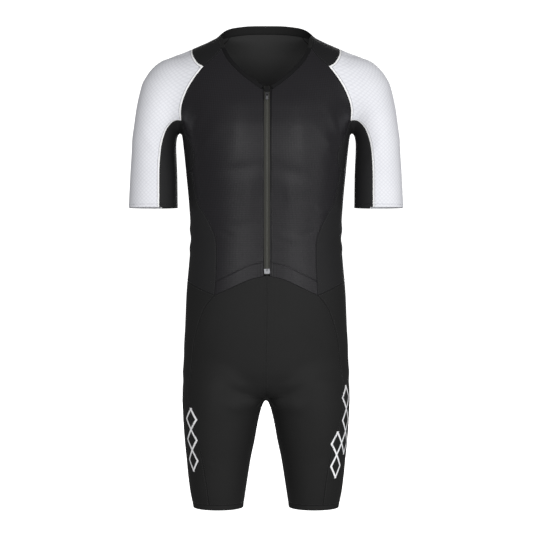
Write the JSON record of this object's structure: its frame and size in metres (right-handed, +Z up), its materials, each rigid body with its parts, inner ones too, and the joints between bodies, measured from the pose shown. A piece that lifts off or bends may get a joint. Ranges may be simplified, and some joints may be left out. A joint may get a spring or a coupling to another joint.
{
  "type": "triathlon suit",
  "caption": "Short-sleeved one-piece triathlon suit with white raglan sleeves, black body and shorts and a front zip, filled out as worn and open at neck, cuffs and legs.",
  "frame": {"origin": "middle of the neck opening, level with the sides of the neck, where the wearer's neck and shoulders hold the suit up", "axes": "+Z up from the legs to the neck, -Y towards the front with the zip, +X towards the wearer's left"},
  "size_m": [0.566, 0.2419, 1.0037],
  "materials": {
    "front_mesh": "fine open mesh knit",
    "side_knit": "smooth elastic knit",
    "back_knit": "smooth elastic knit",
    "sleeve_knit": "white knit, small lattice",
    "shorts_knit": "smooth compressive knit",
    "binding_knit": "folded elastic binding",
    "hem_knit": "elastic band",
    "zip_tape": "woven tape",
    "zip_coil": "coil under its tape",
    "slider_metal": "black enamel",
    "pull_metal": "satin",
    "stop_metal": "satin"
  },
  "bodies": {
    "suit": {"front_left": "front_mesh", "front_right": "front_mesh", "side_left": "side_knit", "side_right": "side_knit", "underarm_left": "side_knit", "underarm_right": "side_knit", "yoke_left": "back_knit", "yoke_right": "back_knit", "sleeve_left": "sleeve_knit", "sleeve_right": "sleeve_knit", "shorts_front_left": "shorts_knit", "shorts_front_right": "shorts_knit", "shorts_back_left": "shorts_knit", "shorts_back_right": "shorts_knit", "neck_binding_left": "binding_knit", "neck_binding_right": "binding_knit", "zip_tape_left": "zip_tape", "zip_tape_right": "zip_tape", "leg_hem_left": "hem_knit", "leg_hem_right": "hem_knit", "back": "back_knit", "back_neck_band": "binding_knit", "zip_coil": "zip_coil", "zip_garage": "binding_knit", "zip_slider": "slider_metal", "zip_stop": "stop_metal"},
    "pull": {"zip_pull": "pull_metal"}
  },
  "joints": [
    {"name": "zip_pull_swing", "type": "hinge", "parent": "suit", "child": "pull", "pos_m": [0.002, -0.11032, -0.13035], "axis": [-1, 0, 0], "range_deg": [0, 165]}
  ]
}
